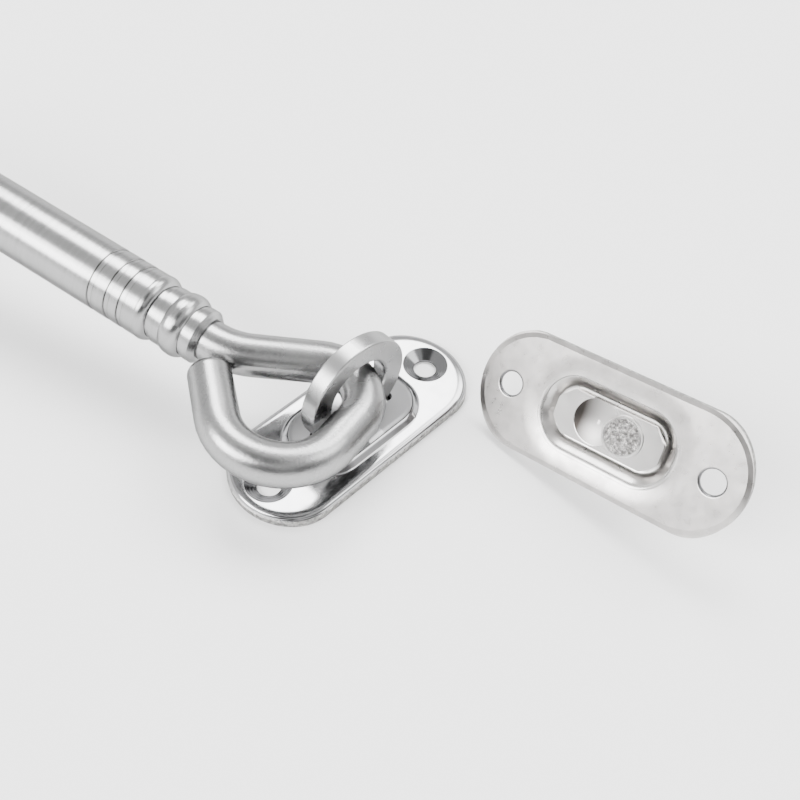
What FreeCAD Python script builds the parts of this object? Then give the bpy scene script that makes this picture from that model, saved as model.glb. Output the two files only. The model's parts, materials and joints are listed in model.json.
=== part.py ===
import FreeCAD, Part
import math
import os

# Hook latch: a pivot plate with a loose eye, an arm bent from one bar, and a keeper plate.
# Millimetres. The pivot plate lies on z = 0 with its centre at the origin, its length along Y.
# The arm runs towards -X. The keeper plate leans on its own eye at +X.

V = FreeCAD.Vector

# Bar of the arm: pivot loop, core and working hook, all one piece
BAR_D = 8.0
BAR_TIP_R = 1.5            # both cut ends are rounded off
ARM_REACH = 150.0          # from the pivot eye to the far hook, the six inch size

# Pivot loop, measured along the bar's centre line from the sleeve
NECK_BEND_R = 13.8         # the neck leans off the arm's axis and back
NECK_LEAN = 33.5
NECK_RUN = 12.4
NECK_BACK_R = 7.2
LOOP_FAR_R = 8.4           # round the eye's ring
LOOP_FAR_RUN = 7.2
LOOP_NEAR_R = 11.2         # round the open side, back towards the neck
LOOP_NEAR_TURN = 134.5
LOOP_TIP_RUN = 11.2

# Working hook
HOOK_RISE = 25.0           # lean of its shoulder, so that the upright starts over the arm
HOOK_SHOULDER_RUN = 4.0
HOOK_CREST_RUN = 2.0
HOOK_CREST_R = 9.0
HOOK_LOW_R = 11.0
HOOK_TIP_TURN = 102.0
HOOK_TIP_RUN = 8.0

# Turned sleeve; lengths run back from its end face, at both ends alike
SLEEVE_GAP = 26.6          # from the pivot eye to the sleeve's end face
SLEEVE_D = 13.0
SLEEVE_FIT = 0.02          # air left round the bar
COLLAR_D = 10.8
COLLAR_FACE_D = 8.9        # what the collar's wide chamfer leaves of its end face
COLLAR_CHAMFER = 1.0
COLLAR_LONG = 2.4
GROOVE_D = 10.3
GROOVE_LONG = 0.9
BEAD_D = 12.5
BEAD_LONG = 4.0
RING_D = 11.6              # plain ring between bead and waist
RING_LONG = 2.0
WAIST_D = 10.8
WAIST_LONG = 1.2
SHOULDER_LONG = 2.2        # the sleeve's rounded end
LINE_DEEP = 0.2            # three shallow bands, each edged by a fine line
LINE_WIDE = 1.1
LINES_AT = (15.75, 18.75, 22.55)

# Mounting plates, both the same pressing
PLATE_LENGTH = 53.6
PLATE_WIDTH = 23.0
PLATE_THICK = 2.0
PLATE_END_R = 0.548 * PLATE_WIDTH      # ends a little flatter than half circles
PLATE_CORNER_R = 0.374 * PLATE_WIDTH
PLATE_EDGE_R = 0.9         # rolled-over front edge
SCREW_SPACING = 41.0
SCREW_HOLE_D = 4.5         # throat
SCREW_HEAD_D = 9.0         # countersink in the front face
SCREW_BACK_R = 0.45        # the punched back edge is rounded
SCREW_THROAT = 0.25        # straight part between the countersink and that rounding
BOSS_LENGTH = 28.8         # pressed-out middle, outside, at the plate's face
BOSS_WIDTH = 16.8
BOSS_CORNER_R = 7.6
BOSS_RISE = 1.4            # top of the boss above the plate's face
BOSS_SLOPE = 45.0          # degrees from the plate
BOSS_TOP_R = 2.0
BOSS_FOOT_R = 0.5          # in front, where the boss leaves the plate
RECESS_INSET = 1.2         # the recess behind the boss is this much smaller all round
RECESS_CEILING = 2.1
RECESS_INNER_R = 0.8
RECESS_MOUTH_R = 1.5
SLOT_LENGTH = 18.6
SLOT_WIDTH = 4.5
SLOT_END_R = 1.2

# Cast eye, loose in the slot
EYE_THICK = 3.4
EYE_R = 11.3
EYE_HEIGHT = 11.7          # centre of the ring above the mounting face
EYE_SHIFT = 0.2            # ring centre along the plate
EYE_HOLE_R = 6.6
EYE_HOLE_RISE = 0.2        # hole centre above the ring centre
EYE_HOLE_ROUND = 0.6
FOOT_LENGTH = 21.3
FOOT_WIDTH = 8.7
FOOT_BOTTOM = 0.5          # foot stays this far above the mounting face
FOOT_TOP = 1.6             # at the ring's flank, below the recess's ceiling
FOOT_FALL = 0.4            # the foot's top falls away so that the eye can rock
FOOT_CORNER = 2.5          # its corners are cut off by this much
FOOT_EDGE_R = 1.0          # its upright edges are rounded
SCOOP_AT = -2.4            # ladle mark: a round hollow that runs out over one long side
SCOOP_SIDE = 0.4
SCOOP_WIDTH = 8.8
SCOOP_DEEP = 0.75
GATE_AT = 3.1              # round stump where the casting was cut off its runner
GATE_D = 7.8
GATE_HIGH = 0.25

# Where the arm lies: it passes through the eye's hole here, above the plate's middle
LINK_Y = 0.6
LINK_Z = 11.8
ARM_TURN = 13.1            # swung from -X towards -Y
ARM_RISE = 6.0             # climbs towards the far hook, which touches the floor
ARM_ROLL = 5.0             # loop's near side rolled up
ARM_SIDE = 8.4             # arm axis beside the eye's centre

# Where the keeper plate leans
KEEPER_X = 38.58
KEEPER_Y = 24.98
KEEPER_Z = 13.95           # its eye and its lower end just touch the floor
KEEPER_LONG = V(0.98, 0.074, 0.185)
KEEPER_FRONT = V(0.038, 0.843, -0.537)


def outline(length, width, end_r, corner_r):
    # Flat plate outline along Y: straight sides, round corners, wide end arcs.
    arc_y = length / 2 - end_r
    corner_x = width / 2 - corner_r
    reach = end_r - corner_r
    corner_y = arc_y + math.sqrt(reach ** 2 - corner_x ** 2)
    lean = math.atan2(corner_x, corner_y - arc_y)
    half = width / 2
    touch = V(end_r * math.sin(lean), arc_y + end_r * math.cos(lean), 0)
    mid_turn = (math.pi / 2 + lean) / 2
    bulge = V(corner_x + corner_r * math.sin(mid_turn), corner_y + corner_r * math.cos(mid_turn), 0)
    tip = V(0, length / 2, 0)
    side = V(half, corner_y, 0)

    def flip(p, sx, sy):
        return V(p.x * sx, p.y * sy, 0)

    edges = []
    for sy in (1, -1):
        edges.append(Part.Arc(flip(side, 1, sy), flip(bulge, 1, sy), flip(touch, 1, sy)).toShape())
        edges.append(Part.Arc(flip(touch, 1, sy), tip * sy, flip(touch, -1, sy)).toShape())
        edges.append(Part.Arc(flip(touch, -1, sy), flip(bulge, -1, sy), flip(side, -1, sy)).toShape())
    for sx in (1, -1):
        edges.append(Part.makeLine(flip(side, sx, 1), flip(side, sx, -1)))
    return Part.Wire(Part.__sortEdges__(edges))


def rounded(length, width, radius, height):
    # Rounded rectangle, its length along Y, at a height.
    a = width / 2
    b = length / 2
    k = radius * (1 - math.sqrt(0.5))
    edges = []
    for sx in (1, -1):
        edges.append(Part.makeLine(V(sx * a, b - radius, height), V(sx * a, radius - b, height)))
        edges.append(Part.makeLine(V(a - radius, sx * b, height), V(radius - a, sx * b, height)))
        for sy in (1, -1):
            p = V(sx * a, sy * (b - radius), height)
            q = V(sx * (a - k), sy * (b - k), height)
            r = V(sx * (a - radius), sy * b, height)
            edges.append(Part.Arc(p, q, r).toShape())
    return Part.Wire(Part.__sortEdges__(edges))


def tapered(length, width, radius, low, high):
    # Block whose walls lean in by BOSS_SLOPE; its sizes are those at the lower height.
    shrink = (high - low) / math.tan(math.radians(BOSS_SLOPE))
    base = rounded(length, width, radius, low)
    top = rounded(length - 2 * shrink, width - 2 * shrink, radius - shrink, high)
    return Part.makeLoft([base, top], True, True)


def edges_at(shape, height, inside):
    # Edges that lie wholly at one height and whose middle passes a test.
    found = []
    for edge in shape.Edges:
        box = edge.BoundBox
        level = abs(box.ZMin - height) < 0.01 and abs(box.ZMax - height) < 0.01
        if level and inside(edge.CenterOfMass):
            found.append(edge)
    return found


def make_plate():
    body = Part.Face(outline(PLATE_LENGTH, PLATE_WIDTH, PLATE_END_R, PLATE_CORNER_R))
    body = body.extrude(V(0, 0, PLATE_THICK))
    rim = edges_at(body, PLATE_THICK, lambda c: True)
    body = body.makeFillet(PLATE_EDGE_R, rim)
    # pressed-out boss, started inside the sheet so that its walls run on
    sunk = PLATE_THICK / 2
    grow = sunk / math.tan(math.radians(BOSS_SLOPE))
    peak = PLATE_THICK + BOSS_RISE
    boss = tapered(BOSS_LENGTH + 2 * grow, BOSS_WIDTH + 2 * grow, BOSS_CORNER_R + grow, PLATE_THICK - sunk, peak)
    boss = boss.makeFillet(BOSS_TOP_R, edges_at(boss, peak, lambda c: True))
    body = body.fuse(boss).removeSplitter()
    foot_line = edges_at(body, PLATE_THICK, lambda c: abs(c.x) < BOSS_WIDTH / 2 + 0.1 and abs(c.y) < BOSS_LENGTH / 2 + 0.1)
    body = body.makeFillet(BOSS_FOOT_R, foot_line)
    # recess behind the boss
    long_way = BOSS_LENGTH - 2 * RECESS_INSET
    recess = tapered(long_way, BOSS_WIDTH - 2 * RECESS_INSET, BOSS_CORNER_R - RECESS_INSET, 0, RECESS_CEILING)
    recess = recess.makeFillet(RECESS_INNER_R, edges_at(recess, RECESS_CEILING, lambda c: True))
    body = body.cut(recess)
    mouth = edges_at(body, 0, lambda c: abs(c.x) < BOSS_WIDTH / 2 and abs(c.y) < BOSS_LENGTH / 2)
    body = body.makeFillet(RECESS_MOUTH_R, mouth)
    # punched slot for the eye
    slot = Part.Face(rounded(SLOT_LENGTH, SLOT_WIDTH, SLOT_END_R, 0)).extrude(V(0, 0, peak + 1))
    body = body.cut(slot)
    # screw holes: a straight throat, countersunk in front
    throat_top = SCREW_BACK_R + SCREW_THROAT
    deep = PLATE_THICK - throat_top
    over = 0.2
    grow = over * (SCREW_HEAD_D - SCREW_HOLE_D) / 2 / deep
    for sy in (1, -1):
        y = sy * SCREW_SPACING / 2
        body = body.cut(Part.makeCylinder(SCREW_HOLE_D / 2, PLATE_THICK, V(0, y, 0)))
        cone = Part.makeCone(SCREW_HOLE_D / 2, SCREW_HEAD_D / 2 + grow, deep + over, V(0, y, throat_top))
        body = body.cut(cone)
    punched = edges_at(body, 0, lambda c: abs(abs(c.y) - SCREW_SPACING / 2) < 0.1)
    return body.makeFillet(SCREW_BACK_R, punched)


def make_eye():
    # ring, standing in the plane of the plate's length
    half = EYE_THICK / 2
    centre = V(-half, EYE_SHIFT, EYE_HEIGHT)
    ring = Part.makeCylinder(EYE_R, EYE_THICK, centre, V(1, 0, 0))
    keep = Part.makeBox(EYE_THICK + 2, 60, 60, V(-half - 1, -30, FOOT_BOTTOM + 0.5))
    ring = ring.common(keep)
    rim = [e for e in ring.Edges if e.BoundBox.XLength < 0.01 and e.BoundBox.ZMax > EYE_HEIGHT + EYE_R - 0.1]
    ring = ring.makeFillet(0.3, rim)
    hole_at = V(-half - 1, EYE_SHIFT, EYE_HEIGHT + EYE_HOLE_RISE)
    ring = ring.cut(Part.makeCylinder(EYE_HOLE_R, EYE_THICK + 2, hole_at, V(1, 0, 0)))
    bore = []
    for edge in ring.Edges:
        box = edge.BoundBox
        flat = box.XLength < 0.01
        if flat and abs(box.ZLength - 2 * EYE_HOLE_R) < 0.05:
            bore.append(edge)
    ring = ring.makeFillet(EYE_HOLE_ROUND, bore)
    # foot, captive behind the slot, its corners cut off and its top falling away
    a = FOOT_WIDTH / 2
    b = FOOT_LENGTH / 2
    c = FOOT_CORNER
    corners = [V(a, b - c, 0), V(a - c, b, 0), V(c - a, b, 0), V(-a, b - c, 0)]
    corners += [V(-a, c - b, 0), V(c - a, -b, 0), V(a - c, -b, 0), V(a, c - b, 0)]
    foot = Part.Face(Part.makePolygon(corners + [corners[0]])).extrude(V(0, 0, FOOT_TOP - FOOT_BOTTOM))
    foot.translate(V(0, 0, FOOT_BOTTOM))
    upright = [e for e in foot.Edges if e.BoundBox.ZLength > 0.1]
    foot = foot.makeFillet(FOOT_EDGE_R, upright)
    drop = FOOT_FALL / (a - half)
    for sx in (1, -1):
        wedge = [V(sx * half, -b - 1, FOOT_TOP), V(sx * (a + 2), -b - 1, FOOT_TOP - drop * (a + 2 - half))]
        wedge += [V(sx * (a + 2), -b - 1, FOOT_TOP + 1), V(sx * half, -b - 1, FOOT_TOP + 1)]
        cutter = Part.Face(Part.makePolygon(wedge + [wedge[0]])).extrude(V(0, FOOT_LENGTH + 2, 0))
        foot = foot.cut(cutter)
    eye = ring.fuse(foot)
    # back of the foot: the scoop and the stump of the runner
    scoop_r = (SCOOP_WIDTH ** 2 / 4 + SCOOP_DEEP ** 2) / (2 * SCOOP_DEEP)
    scoop_at = V(SCOOP_SIDE, SCOOP_AT, FOOT_BOTTOM + SCOOP_DEEP - scoop_r)
    eye = eye.cut(Part.makeSphere(scoop_r, scoop_at))
    gate = Part.makeCylinder(GATE_D / 2, GATE_HIGH + 0.5, V(0, GATE_AT, FOOT_BOTTOM - GATE_HIGH))
    return eye.fuse(gate).removeSplitter()


class Bar:
    # A centre line made of straights and bends in one plane.
    def __init__(self, start, ahead, left):
        self.at = start
        self.ahead = ahead
        self.left = left
        self.edges = []

    def go(self, length):
        end = self.at + self.ahead * length
        self.edges.append(Part.makeLine(self.at, end))
        self.at = end
        return self

    def bend(self, radius, degrees):
        # positive bends turn left
        sign = 1 if degrees > 0 else -1
        centre = self.at + self.left * (sign * radius)

        def reached(turn):
            t = math.radians(abs(turn))
            out = self.left * (-sign)
            return centre + out * (radius * math.cos(t)) + self.ahead * (radius * math.sin(t))

        middle = reached(degrees / 2)
        end = reached(degrees)
        self.edges.append(Part.Arc(self.at, middle, end).toShape())
        t = math.radians(degrees)
        ahead = self.ahead * math.cos(t) + self.left * math.sin(t)
        self.left = self.left * math.cos(t) - self.ahead * math.sin(t)
        self.ahead = ahead
        self.at = end
        return self

    def solid(self, diameter, start, ahead):
        wire = Part.Wire(self.edges)
        ring = Part.Wire([Part.makeCircle(diameter / 2, start, ahead)])
        pipe = Part.BRepOffsetAPI.MakePipeShell(wire)
        pipe.add(ring)
        pipe.build()
        pipe.makeSolid()
        return pipe.shape()


LINK_AT = V(0, LINK_Y, LINK_Z)

# Arm directions: out along the arm, sideways towards the viewer, and up off the loop
turn = math.radians(ARM_TURN)
rise = math.radians(ARM_RISE)
roll = math.radians(ARM_ROLL)
arm_out = V(-math.cos(turn) * math.cos(rise), -math.sin(turn) * math.cos(rise), math.sin(rise))
level_side = V(math.sin(turn), -math.cos(turn), 0)
arm_up = arm_out.cross(level_side) * -1
if arm_up.z < 0:
    arm_up = arm_up * -1
arm_near = level_side * math.cos(roll) + arm_up * math.sin(roll)
ARM_MIDDLE = ARM_REACH / 2


def arm_point(out, side):
    return LINK_AT + arm_out * out + arm_near * side


def round_tip(bar, tip):
    # Rounds off the cut end of the bar at a point of its centre line.
    rims = [e for e in bar.Edges if e.Closed and (e.CenterOfMass - tip).Length < 0.1]
    return bar.makeFillet(BAR_TIP_R, rims)


def make_bar():
    start = arm_point(ARM_MIDDLE, ARM_SIDE)
    # pivot loop: leans off the axis, passes through the eye, comes round and ends by the neck
    loop = Bar(start, arm_out * -1, arm_near * -1)
    loop.go(ARM_MIDDLE - SLEEVE_GAP + 0.8)
    loop.bend(NECK_BEND_R, NECK_LEAN).go(NECK_RUN).bend(NECK_BACK_R, -NECK_LEAN)
    loop.bend(LOOP_FAR_R, -90).go(LOOP_FAR_RUN)
    loop.bend(LOOP_NEAR_R, -LOOP_NEAR_TURN).go(LOOP_TIP_RUN)
    near = round_tip(loop.solid(BAR_D, start, arm_out * -1), loop.at)
    # working hook: stands upright, opens towards the pivot, its lowest point on the floor
    upright = V(0, 0, 1) - arm_out * arm_out.z
    upright.normalize()
    hook = Bar(start, arm_out, upright)
    hook.go(ARM_MIDDLE - SLEEVE_GAP + 0.6)
    hook.bend(NECK_BEND_R, HOOK_RISE).go(HOOK_SHOULDER_RUN).bend(NECK_BEND_R, -HOOK_RISE)
    hook.go(HOOK_CREST_RUN).bend(HOOK_CREST_R, -90)
    # the lower bend's centre comes to rest one bend radius and half a bar above the floor
    centre = hook.at - hook.left * HOOK_LOW_R
    fall = centre.z - HOOK_LOW_R - BAR_D / 2
    hook.go(fall / -hook.ahead.z).bend(HOOK_LOW_R, -HOOK_TIP_TURN).go(HOOK_TIP_RUN)
    far = round_tip(hook.solid(BAR_D, start, arm_out), hook.at)
    return near.fuse(far).removeSplitter()


class Turned:
    # Half profile of a turned piece, drawn from its middle towards one end face.
    def __init__(self, end, diameter):
        self.end = end
        self.at = V(0, diameter / 2, 0)
        self.edges = []

    def spot(self, back, diameter):
        return V(self.end - back, diameter / 2, 0)

    def cut(self, back, diameter):
        # straight to a station this far back from the end face
        to = self.spot(back, diameter)
        self.edges.append(Part.makeLine(self.at, to))
        self.at = to
        return self

    def sweep(self, via_back, via_diameter, back, diameter):
        # arc over one point to a station
        to = self.spot(back, diameter)
        self.edges.append(Part.Arc(self.at, self.spot(via_back, via_diameter), to).toShape())
        self.at = to
        return self

    def solid(self, bore):
        # bored out, revolved and mirrored to the other end
        first = self.edges[0].Vertexes[0].Point
        inner_end = V(self.at.x, bore / 2, 0)
        inner_start = V(0, bore / 2, 0)
        rest = [self.at, inner_end, inner_start, first]
        for p, q in zip(rest, rest[1:]):
            self.edges.append(Part.makeLine(p, q))
        section = Part.Face(Part.Wire(Part.__sortEdges__(self.edges)))
        half = section.revolve(V(0, 0, 0), V(1, 0, 0), 360)
        return half.fuse(half.mirror(V(0, 0, 0), V(1, 0, 0))).removeSplitter()


def make_sleeve():
    turned = Turned(ARM_MIDDLE - SLEEVE_GAP, SLEEVE_D)
    wall = LINE_DEEP / 2
    for centre in reversed(LINES_AT):
        before = centre + LINE_WIDE / 2
        after = centre - LINE_WIDE / 2
        turned.cut(before, SLEEVE_D).cut(before - wall, SLEEVE_D - 2 * LINE_DEEP)
        turned.cut(after + wall, SLEEVE_D - 2 * LINE_DEEP).cut(after, SLEEVE_D)
    groove = COLLAR_LONG + GROOVE_LONG
    ring = groove + BEAD_LONG
    waist = ring + RING_LONG
    shoulder = waist + WAIST_LONG
    # rounded end of the sleeve, waist and ring
    turned.cut(shoulder + SHOULDER_LONG, SLEEVE_D)
    turned.sweep(shoulder + 0.2 * SHOULDER_LONG, SLEEVE_D - 0.8, shoulder, SLEEVE_D - 2.0)
    turned.cut(shoulder, WAIST_D).cut(waist, WAIST_D).cut(waist, RING_D).cut(ring, RING_D)
    # bead: rises in a short curve, falls in a fuller one into the groove
    crest = ring - 0.4 * BEAD_LONG
    turned.sweep(ring - 0.15 * BEAD_LONG, BEAD_D - 0.28, crest, BEAD_D)
    turned.sweep(groove + 0.2 * BEAD_LONG, BEAD_D - 0.5, groove, GROOVE_D + 0.3)
    turned.cut(groove, GROOVE_D).cut(COLLAR_LONG, GROOVE_D).cut(COLLAR_LONG, COLLAR_D)
    turned.cut(COLLAR_CHAMFER, COLLAR_D).cut(0, COLLAR_FACE_D)
    sleeve = turned.solid(BAR_D + 2 * SLEEVE_FIT)
    along_arm = FreeCAD.Rotation(V(1, 0, 0), arm_out)
    sleeve.Placement = FreeCAD.Placement(arm_point(ARM_MIDDLE, ARM_SIDE), along_arm)
    return sleeve


def lean_keeper(shape):
    # The keeper's own frame: Y along its length, Z out of its front.
    z = V(KEEPER_FRONT)
    z.normalize()
    y = KEEPER_LONG - z * KEEPER_LONG.dot(z)
    y.normalize()
    x = y.cross(z)
    spin = FreeCAD.Matrix()
    spin.A = [x.x, y.x, z.x, KEEPER_X, x.y, y.y, z.y, KEEPER_Y, x.z, y.z, z.z, KEEPER_Z, 0, 0, 0, 1]
    moved = shape.copy()
    moved.Placement = FreeCAD.Placement(spin)
    return moved


os.makedirs("parts", exist_ok=True)
plate = make_plate()
eye = make_eye()
pieces = {
    "pivot_plate": plate,
    "pivot_eye": eye,
    "hook_bar": make_bar(),
    "sleeve": make_sleeve(),
    "keeper_plate": lean_keeper(plate),
    "keeper_eye": lean_keeper(eye),
}
for name, shape in pieces.items():
    shape.exportStep("parts/" + name + ".step")
    print(name, len(shape.Solids), shape.isValid(), round(shape.Volume, 1), shape.BoundBox)
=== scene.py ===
import bpy
import json
import math
import numpy as np
from mathutils import Matrix, Vector


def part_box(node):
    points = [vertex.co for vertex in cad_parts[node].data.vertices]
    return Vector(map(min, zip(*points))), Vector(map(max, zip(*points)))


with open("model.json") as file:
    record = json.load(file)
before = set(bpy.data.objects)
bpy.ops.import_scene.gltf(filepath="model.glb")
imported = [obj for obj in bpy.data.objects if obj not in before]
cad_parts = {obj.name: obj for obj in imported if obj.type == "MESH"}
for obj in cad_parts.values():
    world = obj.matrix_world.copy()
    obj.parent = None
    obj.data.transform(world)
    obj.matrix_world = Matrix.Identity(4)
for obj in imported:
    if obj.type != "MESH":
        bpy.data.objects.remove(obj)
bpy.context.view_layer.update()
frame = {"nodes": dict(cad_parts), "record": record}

# The table and the light: a matt white sheet in a light tent. The tent's walls are dim, and bright
# panels stand behind and in front of them, so that steel shows soft white bands on grey.
FLOOR_HALF = 3.0
FLOOR_WHITE = "FAFAFA"
PAPER_MATT = 0.9                                  # roughness
TENT_WHITE = "FFFFFF"
WALL = 1.2                                        # how bright the bare tent is
FOOT_GLOW = 2.7                                   # its foot is as bright as the sheet before it
FOOT_END, FOOT_TOP = 0.12, 0.26                   # sines of the heights where that fades
PANELS = (
    # where it stands, seen from the latch; cosines of its lit middle and of its end; how bright
    ((-0.46, 0.35, 0.82), 0.985, 0.95, 18.0),
    ((0.00, 0.64, 0.77), 0.985, 0.955, 12.0),
    ((0.50, 0.50, 0.70), 0.985, 0.95, 7.0),
    ((-0.33, -0.77, 0.54), 0.985, 0.95, 20.0),
    ((0.02, -0.79, 0.61), 0.985, 0.95, 16.0),
    ((0.48, -0.82, 0.30), 0.93, 0.87, 0.20),
    ((0.95, -0.10, 0.25), 0.95, 0.85, 0.30),
    ((0.20, -0.28, 0.94), 0.98, 0.93, 0.25),
)


def linear(code):
    """Linear colour of an sRGB hex value."""
    parts = [int(code[i:i + 2], 16) / 255 for i in (0, 2, 4)]
    return [v / 12.92 if v <= 0.04045 else ((v + 0.055) / 1.055) ** 2.4 for v in parts] + [1.0]


def add_node(tree, kind, values={}, links={}, out=0):
    """Adds a node, sets its settings and sockets, links its inputs, and gives one output.

    In a Map Range, sockets 1 and 2 are the span that is read, 3 and 4 the span that comes out. In a
    Mix, socket 0 is the share, 2 and 3 are two numbers, 6 and 7 two colours that come out at 2.
    """
    made = tree.nodes.new("ShaderNode" + kind)
    for name, value in values.items():
        if isinstance(name, int) or name in made.inputs:
            made.inputs[name].default_value = value
        else:
            setattr(made, name, value)
    for name, source in links.items():
        tree.links.new(source, made.inputs[name])
    return made.outputs[out]


bpy.ops.object.select_all(action="DESELECT")
bpy.ops.mesh.primitive_plane_add(size=2 * FLOOR_HALF, location=(0, 0, 0))
floor = bpy.context.object
floor.name = "floor_sheet"
# Matt paper mirrors nothing and takes soft shadows
paper = bpy.data.materials.new("matt_white_paper")
paper.use_nodes = True
paper_shader = paper.node_tree.nodes["Principled BSDF"]
paper_shader.inputs["Base Color"].default_value = linear(FLOOR_WHITE)
paper_shader.inputs["Roughness"].default_value = PAPER_MATT
floor.data.materials.append(paper)

tent = bpy.data.worlds.new("light_tent")
tent.use_nodes = True
bpy.context.scene.world = tent
sky = tent.node_tree
way = add_node(sky, "TexCoord", out="Generated")
glow = add_node(sky, "Value")
glow.default_value = WALL
for toward, middle, end, strength in PANELS:
    near = add_node(sky, "VectorMath", {"operation": "DOT_PRODUCT", 1: Vector(toward).normalized()},
                    {0: way}, "Value")
    share = add_node(sky, "MapRange", {"interpolation_type": "SMOOTHSTEP", 1: end, 2: middle},
                     {0: near})
    glow = add_node(sky, "Mix", {3: strength}, {0: share, 2: glow})
height = add_node(sky, "SeparateXYZ", {}, {0: way}, "Z")
above = add_node(sky, "MapRange", {"interpolation_type": "SMOOTHSTEP", 1: FOOT_END, 2: FOOT_TOP},
                 {0: height})
glow = add_node(sky, "Mix", {2: FOOT_GLOW}, {0: above, 3: glow})
sky.links.new(glow, sky.nodes["Background"].inputs["Strength"])
sky.nodes["Background"].inputs["Color"].default_value = linear(TENT_WHITE)

# Camera: it stands above the keeper's side and looks down along the arm. It is tilted a little,
# as a camera held by hand is.
CAMERA_AT = Vector((0.07892, -0.07997, 0.15039))
CAMERA_AIM = Vector((0.00794, 0.00433, 0.0118))
CAMERA_ROLL = math.radians(5.6)
CAMERA_LENS, CAMERA_FRAME = 43.98, 36.0           # mm, focal length and width of the frame
CAMERA_NEAR = 0.01                                # nothing nearer is drawn
camera_data = bpy.data.cameras.new("camera")
camera_data.lens = CAMERA_LENS
camera_data.sensor_width = CAMERA_FRAME
camera_data.clip_start = CAMERA_NEAR
camera = bpy.data.objects.new("camera", camera_data)
level = (CAMERA_AIM - CAMERA_AT).to_track_quat("-Z", "Y").to_matrix().to_4x4()
roll = Matrix.Rotation(CAMERA_ROLL, 4, "Z")
camera.matrix_world = Matrix.Translation(CAMERA_AT) @ level @ roll
bpy.context.collection.objects.link(camera)
bpy.context.scene.camera = camera

# Pivot plate: 2 mm stainless sheet, blanked, pressed up to a boss and polished on its face. Two
# screws in turned countersinks hold it to the door. Depths of relief are in mm, all else in m.
POLISHED_SHEET = "A4A4A5"
SHEET_POLISH = (0.10, 0.17)                       # roughness, from best to worst
GRAZING = "B0B0B0"                                # what steel keeps of light that grazes it
MILLIMETRE = 0.001
NOISE_SPAN = (0.3, 0.7)                           # nearly all of a noise lies in here
FADE = 0.0001                                     # how softly one finish meets the next
PEEL, SHEET_PEEL_DEEP = 0.0018, 0.003             # orange peel of the pressed face
STAINS, SHEET_STAINS_STRONG = 0.0032, 0.03        # clouds that rolling and pickling leave
plate_low, plate_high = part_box("pivot_plate")
mounts = {m["name"]: m for m in frame["record"]["mounts"]}
NO_LEAST = -1.0                                   # lower than any place on the plate
hole_at = mounts["pivot_screws"]["dims"]["spacing_y_mm"] * MILLIMETRE / 2
half_wide = (plate_high[0] - plate_low[0]) / 2
sheet_spine = (plate_high[1] - plate_low[1]) / 2 - half_wide
BOSS_SPINE = 0.006                                # half the boss's straight stretch
BOSS_TOP_Z = 0.0031
BOSS_POLISH = 0.30
CROWN_SPAN, CROWN_DEEP = (0.0018, 0.0138), 3.6    # along the boss, and the fall of its top
FACE_Z = (0.0012, 0.0016)                         # between the back's side and the face's side
ROLL_SPAN, ROLL_DEEP = (0.0098, 0.0115), 0.35     # off the middle line: the face's fall to its rim
BACK_Z = 0.0002                                   # all that lies lower is the back
DRAWN_SPAN, DRAWN_DEEP = (0.0078, 0.0112), 0.4    # the back's fall to the hollow of the boss
BURR_WIDE, BURR_DEEP = 0.0009, 0.5                # the back's rounded rim
# painted shade: the blanked side walls are a darker grey; their torn grain and dull polish are real
BLANKED_EDGE_SHADE = "A3A2A0"
BLANKED_POLISH = 0.45
BLANKED_FROM = (0.0009, 0.0005)                   # in from the rim: first torn, and all torn
TORN_GRAIN, TORN_DEEP = 0.0007, 0.25              # real grain 0.2 mm, coarser to show
# painted glints: bright and dark specks in the torn edge's colour
TORN_SPAN, TORN_PAINTED_GLINT = (0.35, 0.65), (0.5, 1.5)
SIDE_TILT = (0.45, 0.6)                           # share of a normal along the plate's own Z
CONE_TILT = (0.93, 0.97)
SCREW_HEAD_R = 0.0045
# painted shade: the countersinks' cones are coloured darker than the sheet
CONE_PAINTED_SHADE = "7C7C7D"
TOOL_RING, TOOL_DEEP = 0.0006, 0.004              # real feed 0.1 mm, coarser to show
# painted light: the hollow under the boss is coloured lighter than the sheet
HOLLOW_PAINTED_LIGHT = "C4C2C0"
HOLLOW_R, HOLLOW_Z = (0.0076, 0.0084), (0.0022, 0.0024)


def metal(name, code, polish):
    """A bare metal material, its tree and its shader."""
    made = bpy.data.materials.new(name)
    made.use_nodes = True
    shader = made.node_tree.nodes["Principled BSDF"]
    shader.inputs["Metallic"].default_value = 1.0
    shader.inputs["Roughness"].default_value = polish[0]
    shader.inputs["Base Color"].default_value = linear(code)
    shader.inputs["Specular Tint"].default_value = linear(GRAZING)
    return made, made.node_tree, shader


def own_place(tree, stand):
    """Object coordinates, turned back into a piece's own stand."""
    where = add_node(tree, "TexCoord", out="Object")
    back = stand.inverted()
    return add_node(tree, "Mapping", {"Location": back.to_translation(),
                                      "Rotation": back.to_euler()}, {0: where})


def dress(node, made):
    """Gives a CAD node one material."""
    mesh = frame["nodes"][node].data
    mesh.materials.clear()
    mesh.materials.append(made)


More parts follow.
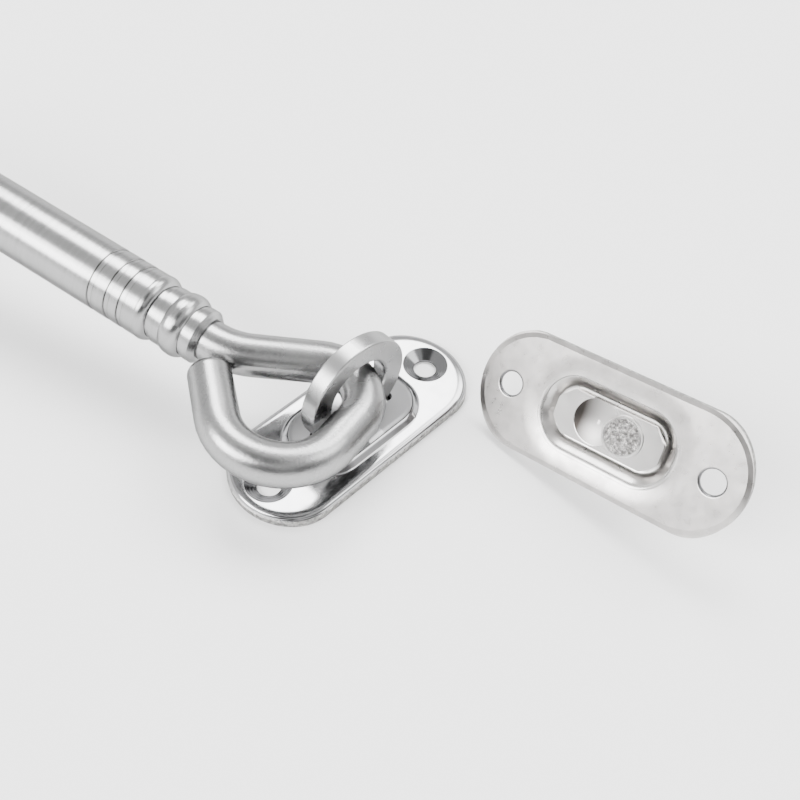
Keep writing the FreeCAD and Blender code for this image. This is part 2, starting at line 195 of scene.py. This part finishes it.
def pressed_sheet(name, code, polish, peel_deep, stains_strong, stand):
    """Pressed sheet steel with its boss, rims, blanked edge and turned countersinks.

    The crown, the rims' fall and the back's fall are relief alone: they change how the flat faces
    shine and not their outline.
    """
    made, tree, shader = metal(name, code, polish)
    spot = own_place(tree, stand)
    xyz = add_node(tree, "SeparateXYZ", {}, {0: spot}).node
    along = add_node(tree, "Math", {"operation": "ABSOLUTE"}, {0: xyz.outputs["Y"]})
    normal = add_node(tree, "NewGeometry", out="True Normal")
    upright = stand.to_3x3() @ Vector((0, 0, 1))
    tilt = add_node(tree, "VectorMath", {"operation": "DOT_PRODUCT", 1: upright}, {0: normal},
                    "Value")
    tilt = add_node(tree, "Math", {"operation": "ABSOLUTE"}, {0: tilt})
    # how far a spot lies from the middle lines of the boss and of the sheet, and from the nearer
    # screw: a line has a length, so nothing beside it lies past its end, and a screw is a point
    reach = []
    for half, least in ((BOSS_SPINE, 0.0), (sheet_spine, 0.0), (hole_at, NO_LEAST)):
        past = add_node(tree, "Math", {"operation": "SUBTRACT", 1: half}, {0: along})
        past = add_node(tree, "Math", {"operation": "MAXIMUM", 1: least}, {0: past})
        flat = add_node(tree, "CombineXYZ", {}, {0: xyz.outputs["X"], 1: past})
        reach.append(add_node(tree, "VectorMath", {"operation": "LENGTH"}, {0: flat}, "Value"))
    from_boss, from_spine, from_screw = reach
    # where each finish lies
    on_side = add_node(tree, "MapRange", {1: SIDE_TILT[0], 2: SIDE_TILT[1], 3: 1.0, 4: 0.0},
                       {0: tilt})
    at_rim = add_node(tree, "MapRange", {1: half_wide - BLANKED_FROM[0],
                                         2: half_wide - BLANKED_FROM[1]}, {0: from_spine})
    blanked = add_node(tree, "Math", {"operation": "MULTIPLY"}, {0: on_side, 1: at_rim})
    in_head = add_node(tree, "MapRange", {1: SCREW_HEAD_R, 2: SCREW_HEAD_R + FADE, 3: 1.0, 4: 0.0},
                       {0: from_screw})
    on_cone = add_node(tree, "MapRange", {1: CONE_TILT[0], 2: CONE_TILT[1], 3: 1.0, 4: 0.0},
                       {0: tilt})
    turned = add_node(tree, "Math", {"operation": "MULTIPLY"}, {0: in_head, 1: on_cone})
    on_face = add_node(tree, "MapRange", {1: FACE_Z[0], 2: FACE_Z[1]}, {0: xyz.outputs["Z"]})
    on_boss = add_node(tree, "MapRange", {1: BOSS_TOP_Z, 2: BOSS_TOP_Z + FADE},
                       {0: xyz.outputs["Z"]})
    on_back = add_node(tree, "MapRange", {1: BACK_Z, 2: BACK_Z + FADE, 3: 1.0, 4: 0.0},
                       {0: xyz.outputs["Z"]})
    in_boss = add_node(tree, "MapRange", {1: HOLLOW_R[0], 2: HOLLOW_R[1], 3: 1.0, 4: 0.0},
                       {0: from_boss})
    under = add_node(tree, "MapRange", {1: HOLLOW_Z[0], 2: HOLLOW_Z[1], 3: 1.0, 4: 0.0},
                     {0: xyz.outputs["Z"]})
    hollow = add_node(tree, "Math", {"operation": "MULTIPLY"}, {0: in_boss, 1: under})
    # the face: crowned boss, and a fall that steepens to the rim
    crown = add_node(tree, "MapRange", {1: CROWN_SPAN[0], 2: CROWN_SPAN[1], 3: CROWN_DEEP, 4: 0.0},
                     {0: along})
    crown = add_node(tree, "Math", {"operation": "MULTIPLY"}, {0: crown, 1: on_boss})
    roll = add_node(tree, "MapRange", {1: ROLL_SPAN[0], 2: ROLL_SPAN[1]}, {0: from_spine})
    roll = add_node(tree, "Math", {"operation": "POWER", 1: 2.0}, {0: roll})
    roll = add_node(tree, "Math", {"operation": "MULTIPLY"}, {0: roll, 1: on_face})
    relief = add_node(tree, "Math", {"operation": "MULTIPLY_ADD", 1: -ROLL_DEEP},
                      {0: roll, 2: crown})
    # the back: drawn in round the hollow of the boss, its rim rounded
    burr = add_node(tree, "MapRange", {1: half_wide - BURR_WIDE, 2: half_wide, 4: BURR_DEEP},
                    {0: from_spine})
    fall = add_node(tree, "MapRange", {1: DRAWN_SPAN[0], 2: DRAWN_SPAN[1], 3: 1.0, 4: 0.0},
                    {0: from_boss})
    fall = add_node(tree, "Math", {"operation": "POWER", 1: 2.0}, {0: fall})
    fall = add_node(tree, "Math", {"operation": "MULTIPLY_ADD", 1: DRAWN_DEEP}, {0: fall, 2: burr})
    fall = add_node(tree, "Math", {"operation": "MULTIPLY"}, {0: fall, 1: on_back})
    relief = add_node(tree, "Math", {"operation": "SUBTRACT"}, {0: relief, 1: fall})
    # orange peel all over, torn grain on the blanked edge, tool rings in the countersinks
    peel = add_node(tree, "TexNoise", {"Scale": 1 / PEEL, "Detail": 2.0}, {0: spot})
    grain = add_node(tree, "TexNoise", {"Scale": 1 / TORN_GRAIN, "Detail": 3.0, "Roughness": 0.7},
                     {0: spot})
    torn = add_node(tree, "Math", {"operation": "MULTIPLY"}, {0: grain, 1: blanked})
    turns = add_node(tree, "Math", {"operation": "MULTIPLY", 1: 2 * math.pi / TOOL_RING},
                     {0: from_screw})
    rings = add_node(tree, "Math", {"operation": "SINE"}, {0: turns})
    rings = add_node(tree, "Math", {"operation": "MULTIPLY"}, {0: rings, 1: turned})
    for pattern, deep in ((peel, peel_deep), (torn, TORN_DEEP), (rings, TOOL_DEEP)):
        relief = add_node(tree, "Math", {"operation": "MULTIPLY_ADD", 1: deep},
                          {0: pattern, 2: relief})
    bump = add_node(tree, "Bump", {"Distance": MILLIMETRE}, {"Height": relief})
    tree.links.new(bump, shader.inputs["Normal"])
    # roughness, stains, painted glints, and colours with painted shade and light
    gloss = add_node(tree, "MapRange", {1: NOISE_SPAN[0], 2: NOISE_SPAN[1], 3: polish[0],
                                        4: polish[1]}, {0: peel})
    gloss = add_node(tree, "Mix", {3: BOSS_POLISH}, {0: on_boss, 2: gloss})
    gloss = add_node(tree, "Mix", {3: BLANKED_POLISH}, {0: blanked, 2: gloss})
    tree.links.new(gloss, shader.inputs["Roughness"])
    cloud = add_node(tree, "TexNoise", {"Scale": 1 / STAINS, "Detail": 2.0}, {0: spot})
    stains = add_node(tree, "MapRange", {1: NOISE_SPAN[0], 2: NOISE_SPAN[1], 3: 1 - stains_strong,
                                         4: 1 + stains_strong}, {0: cloud})
    # painted glints on the torn edge
    painted_glint = add_node(tree, "MapRange", {1: TORN_SPAN[0], 2: TORN_SPAN[1], 3: TORN_PAINTED_GLINT[0],
                                          4: TORN_PAINTED_GLINT[1]}, {0: grain})
    bright = add_node(tree, "Mix", {}, {0: blanked, 2: stains, 3: painted_glint})
    tint = add_node(tree, "Mix", {"data_type": "RGBA", 6: linear(code), 7: linear(BLANKED_EDGE_SHADE)},
                    {0: blanked}, 2)
    # the countersinks' cones are darker, painted shade, and the boss's hollow lighter, painted
    # light
    for shade, share in ((CONE_PAINTED_SHADE, turned), (HOLLOW_PAINTED_LIGHT, hollow)):
        tint = add_node(tree, "Mix", {"data_type": "RGBA", 7: linear(shade)}, {0: share, 6: tint},
                        2)
    tint = add_node(tree, "VectorMath", {"operation": "SCALE"}, {0: tint, "Scale": bright})
    tree.links.new(tint, shader.inputs["Base Color"])
    return made


# Polished sheet mirrors the room almost sharply, wobbled by its orange peel; the torn edge
# glitters, with painted glints and painted shade in its colour
dress("pivot_plate", pressed_sheet("polished_stainless_sheet", POLISHED_SHEET, SHEET_POLISH,
                                   SHEET_PEEL_DEEP, SHEET_STAINS_STRONG, Matrix.Identity(4)))

# Pivot eye: one stainless casting, tumbled and polished, so its faces are soft and a little wavy.
# Its foot is caught under the boss. The foot's back keeps a round stump, where the casting was cut
# off its runner, and beside it a shallow scoop.
POLISHED_CASTING = "A6A6A6"
CASTING_POLISH = (0.24, 0.33)
CAST_WAVE, CAST_WAVE_DEEP = 0.005, 0.02
STUMP_AT = Vector((0, 0.0031, 0))
STUMP_R = (0.0032, 0.0036)                        # rough to here, and smooth from here on
STUMP_Z = (0.00045, 0.0005)                       # it stands out behind the foot's back
STUMP_GRAIN, STUMP_DEEP = 0.0006, 0.45            # real grain 0.4 mm, coarser to show
STUMP_POLISH = 0.22
BREAK_SHADES, BREAK_SPAN = ("403E3C", "BAB8B6"), (0.36, 0.64)
SCOOP_AT = Vector((0.0004, -0.0024, 0))
SCOOP_R = 0.0044
SCOOP_MOUTH_Z, SCOOP_FLOOR_Z = (0.00051, 0.00054), (0.00130, 0.00135)
SCOOP_POLISH = 0.36
SCOOP_PAINTED_SHADE = "322F2D"                              # dark painted shade in the scoop
SCOOP_SHADE_SPAN = (-0.0056, 0.0016)                     # full, and fading out towards the stump


def casting(name, code, polish, stand):
    """Cast steel with a rough stump and a dull scoop with painted shade on the back of its foot."""
    made, tree, shader = metal(name, code, polish)
    spot = own_place(tree, stand)
    xyz = add_node(tree, "SeparateXYZ", {}, {0: spot}).node
    # how far a spot lies from the stump's and the scoop's middle, seen from the back
    reach = []
    for middle in (STUMP_AT, SCOOP_AT):
        off = add_node(tree, "VectorMath", {"operation": "SUBTRACT", 1: middle}, {0: spot})
        flat = add_node(tree, "VectorMath", {"operation": "MULTIPLY", 1: (1, 1, 0)}, {0: off})
        reach.append(add_node(tree, "VectorMath", {"operation": "LENGTH"}, {0: flat}, "Value"))
    from_stump, from_scoop = reach
    inside = add_node(tree, "MapRange", {1: STUMP_R[0], 2: STUMP_R[1], 3: 1.0, 4: 0.0},
                      {0: from_stump})
    behind = add_node(tree, "MapRange", {1: STUMP_Z[0], 2: STUMP_Z[1], 3: 1.0, 4: 0.0},
                      {0: xyz.outputs["Z"]})
    stump = add_node(tree, "Math", {"operation": "MULTIPLY"}, {0: inside, 1: behind})
    scoop = add_node(tree, "MapRange", {1: SCOOP_R, 2: SCOOP_R + FADE, 3: 1.0, 4: 0.0},
                     {0: from_scoop})
    past_mouth = add_node(tree, "MapRange", {1: SCOOP_MOUTH_Z[0], 2: SCOOP_MOUTH_Z[1]},
                          {0: xyz.outputs["Z"]})
    above_floor = add_node(tree, "MapRange", {1: SCOOP_FLOOR_Z[0], 2: SCOOP_FLOOR_Z[1], 3: 1.0,
                                              4: 0.0}, {0: xyz.outputs["Z"]})
    for share in (past_mouth, above_floor):
        scoop = add_node(tree, "Math", {"operation": "MULTIPLY"}, {0: scoop, 1: share})
    # painted shade: the scoop's colour darkens, most at its end away from the stump
    scoop_shade = add_node(tree, "MapRange", {1: SCOOP_SHADE_SPAN[0], 2: SCOOP_SHADE_SPAN[1], 3: 1.0, 4: 0.0},
                    {0: xyz.outputs["Y"]})
    scoop_shade = add_node(tree, "Math", {"operation": "MULTIPLY"}, {0: scoop_shade, 1: scoop})
    # soft waves all over, broken grain on the stump
    wave = add_node(tree, "TexNoise", {"Scale": 1 / CAST_WAVE, "Detail": 3.0}, {0: spot})
    grain = add_node(tree, "TexNoise", {"Scale": 1 / STUMP_GRAIN, "Detail": 4.0, "Roughness": 0.65},
                     {0: spot})
    relief = add_node(tree, "Math", {"operation": "MULTIPLY", 1: CAST_WAVE_DEEP}, {0: wave})
    broken = add_node(tree, "Math", {"operation": "MULTIPLY"}, {0: grain, 1: stump})
    relief = add_node(tree, "Math", {"operation": "MULTIPLY_ADD", 1: STUMP_DEEP},
                      {0: broken, 2: relief})
    bump = add_node(tree, "Bump", {"Distance": MILLIMETRE}, {"Height": relief})
    tree.links.new(bump, shader.inputs["Normal"])
    break_tint = add_node(tree, "ValToRGB", {}, {0: grain})
    for stop, place, shade in zip(break_tint.node.color_ramp.elements, BREAK_SPAN, BREAK_SHADES):
        stop.position, stop.color = place, linear(shade)
    tint = add_node(tree, "Mix", {"data_type": "RGBA", 6: linear(code)}, {0: stump, 7: break_tint},
                    2)
    tint = add_node(tree, "Mix", {"data_type": "RGBA", 7: linear(SCOOP_PAINTED_SHADE)}, {0: scoop_shade, 6: tint}, 2)
    tree.links.new(tint, shader.inputs["Base Color"])
    gloss = add_node(tree, "MapRange", {1: NOISE_SPAN[0], 2: NOISE_SPAN[1], 3: polish[0],
                                        4: polish[1]}, {0: wave})
    gloss = add_node(tree, "Mix", {3: STUMP_POLISH}, {0: stump, 2: gloss})
    gloss = add_node(tree, "Mix", {3: SCOOP_POLISH}, {0: scoop, 2: gloss})
    tree.links.new(gloss, shader.inputs["Roughness"])
    return made


# A polished casting shows soft bands of light, never a sharp mirror image
dress("pivot_eye", casting("polished_stainless_casting", POLISHED_CASTING, CASTING_POLISH,
                           Matrix.Identity(4)))

# Bar: ground stainless round bar, bent cold into loop, arm and hook, then tumbled with ceramic
# stones. Its loop hangs in the pivot eye.
BAR_STEEL = "989898"
BAR_POLISH = (0.23, 0.30)
BAR_CLOUD = 0.006                                 # how wide the better and worse polished spots are
BAR_GRIT, BAR_GRIT_DEEP = 0.0005, 0.03            # real grit 0.1 mm, coarser to show
BAR_SPECK = (0.92, 1.08)                          # how the grit darkens and lights
# Tumbled bar is satin: one broad soft band of light runs along it, broken up by fine even grit
made, tree, shader = metal("tumbled_stainless_bar", BAR_STEEL, BAR_POLISH)
spot = own_place(tree, Matrix.Identity(4))
grit = add_node(tree, "TexNoise", {"Scale": 1 / BAR_GRIT, "Detail": 3.0, "Roughness": 0.7},
                {0: spot})
cloud = add_node(tree, "TexNoise", {"Scale": 1 / BAR_CLOUD, "Detail": 2.0}, {0: spot})
gloss = add_node(tree, "MapRange", {1: NOISE_SPAN[0], 2: NOISE_SPAN[1], 3: BAR_POLISH[0],
                                    4: BAR_POLISH[1]}, {0: cloud})
tree.links.new(gloss, shader.inputs["Roughness"])
speck = add_node(tree, "MapRange", {1: NOISE_SPAN[0], 2: NOISE_SPAN[1], 3: BAR_SPECK[0],
                                    4: BAR_SPECK[1]}, {0: grit})
tint = add_node(tree, "VectorMath", {"operation": "SCALE", 0: linear(BAR_STEEL)[:3]},
                {"Scale": speck})
tree.links.new(tint, shader.inputs["Base Color"])
bump = add_node(tree, "Bump", {"Distance": BAR_GRIT_DEEP * MILLIMETRE}, {"Height": grit})
tree.links.new(bump, shader.inputs["Normal"])
dress("hook_bar", made)

# Sleeve: turned from stainless tube and pressed on the bar. The tool's feed leaves fine rings round
# it, and the edges of its three shallow bands carry fine dark lines of painted shade.
SLEEVE_STEEL = "9B9B9B"
SLEEVE_POLISH = (0.19, 0.25)
FEED, FEED_DEEP = 0.0006, 0.05                    # real feed 0.15 mm, coarser to show
FEED_ROUND = 130.0                                # 1 / m: round the sleeve a ring hardly changes
SLEEVE_SPECK = (0.94, 1.06)                       # how the rings darken and light
# painted shade: the colour of the dark lines along the band edges
BAND_EDGE_SHADE = "5E5D5C"
BAND_SHADE_SHARE = 0.5                                 # how much of the steel a line hides
BAND_SHADE_WIDE = (0.00008, 0.00016)                   # half a line: full, and faded out
BANDS_AT = (0.01575, 0.01875, 0.02255)            # their middles, from the sleeve's end
BAND_HALF = 0.00055
corners = np.array([v.co for v in frame["nodes"]["sleeve"].data.vertices])
arm_way = Vector(np.linalg.svd(corners - corners.mean(axis=0), full_matrices=False)[2][0])
reaches = corners @ np.array(arm_way)
sleeve_middle = float(reaches.max() + reaches.min()) / 2
sleeve_half = float(reaches.max() - reaches.min()) / 2
sleeve_stand = Vector((1, 0, 0)).rotation_difference(arm_way).to_matrix().to_4x4()
# Turned tube shines in clear streaks along it, and its rings break them into short strokes
made, tree, shader = metal("turned_stainless_tube", SLEEVE_STEEL, SLEEVE_POLISH)
spot = own_place(tree, sleeve_stand)
drawn = add_node(tree, "Mapping", {"Scale": (1 / FEED, FEED_ROUND, FEED_ROUND)}, {0: spot})
rings = add_node(tree, "TexNoise", {"Scale": 1.0, "Detail": 3.0, "Roughness": 0.7}, {0: drawn})
gloss = add_node(tree, "MapRange", {1: NOISE_SPAN[0], 2: NOISE_SPAN[1], 3: SLEEVE_POLISH[0],
                                    4: SLEEVE_POLISH[1]}, {0: rings})
tree.links.new(gloss, shader.inputs["Roughness"])
bump = add_node(tree, "Bump", {"Distance": FEED_DEEP * MILLIMETRE}, {"Height": rings})
tree.links.new(bump, shader.inputs["Normal"])
# how far a spot lies from the nearest edge of a band
place = add_node(tree, "SeparateXYZ", {}, {0: spot}, "X")
place = add_node(tree, "Math", {"operation": "SUBTRACT", 1: sleeve_middle}, {0: place})
place = add_node(tree, "Math", {"operation": "ABSOLUTE"}, {0: place})
from_end = add_node(tree, "Math", {"operation": "SUBTRACT", 0: sleeve_half}, {1: place})
from_edge = add_node(tree, "Value")
from_edge.default_value = sleeve_half
for middle in BANDS_AT:
    away = from_end
    for inner in (middle, BAND_HALF):
        away = add_node(tree, "Math", {"operation": "SUBTRACT", 1: inner}, {0: away})
        away = add_node(tree, "Math", {"operation": "ABSOLUTE"}, {0: away})
    from_edge = add_node(tree, "Math", {"operation": "MINIMUM"}, {0: away, 1: from_edge})
# painted shade: fine dark lines at both edges of each band
edge_shade = add_node(tree, "MapRange", {1: BAND_SHADE_WIDE[0], 2: BAND_SHADE_WIDE[1], 3: BAND_SHADE_SHARE, 4: 0.0},
                 {0: from_edge})
speck = add_node(tree, "MapRange", {1: NOISE_SPAN[0], 2: NOISE_SPAN[1], 3: SLEEVE_SPECK[0],
                                    4: SLEEVE_SPECK[1]}, {0: rings})
tint = add_node(tree, "VectorMath", {"operation": "SCALE", 0: linear(SLEEVE_STEEL)[:3]},
                {"Scale": speck})
tint = add_node(tree, "Mix", {"data_type": "RGBA", 7: linear(BAND_EDGE_SHADE)}, {0: edge_shade, 6: tint}, 2)
tree.links.new(tint, shader.inputs["Base Color"])
dress("sleeve", made)

# Keeper plate: the same pressing, its back in view. It stands on its lower end and leans on the
# ring behind it. The back isn't polished.
SATIN_SHEET = "B3B0AE"
SATIN_POLISH = (0.26, 0.34)
SATIN_PEEL_DEEP, SATIN_STAINS_STRONG = 0.004, 0.12
SCREW_MID = 0.000575                              # middle of a hole's straight wall, off the back
low_screw = Vector(mounts["keeper_screw_low"]["pos_m"])
high_screw = Vector(mounts["keeper_screw_high"]["pos_m"])
keeper_front = Vector(mounts["keeper_screw_low"]["axis"])
keeper_long = (high_screw - low_screw).normalized()
keeper_side = keeper_long.cross(keeper_front)
keeper_stand = Matrix((keeper_side, keeper_long, keeper_front)).transposed().to_4x4()
keeper_stand.translation = (low_screw + high_screw) / 2 - keeper_front * SCREW_MID
# Satin sheet from the mill mirrors nothing: it is evenly bright, with faint clouds
dress("keeper_plate", pressed_sheet("satin_stainless_sheet", SATIN_SHEET, SATIN_POLISH,
                                    SATIN_PEEL_DEEP, SATIN_STAINS_STRONG, keeper_stand))

# Keeper eye: the same casting, left as it was tumbled. Its foot is caught in the hollow of the
# keeper's boss, and its stump and its scoop are in view.
TUMBLED_CASTING_PAINTED_LIGHT = "D2D0CE"
TUMBLED_POLISH = (0.11, 0.18)
# The keeper eye's colour is painted lighter than the pivot eye's: painted light. It is smooth
# beside the satin sheet, so its dull stump stands out
dress("keeper_eye", casting("tumbled_stainless_casting_painted_light", TUMBLED_CASTING_PAINTED_LIGHT, TUMBLED_POLISH,
                            keeper_stand))
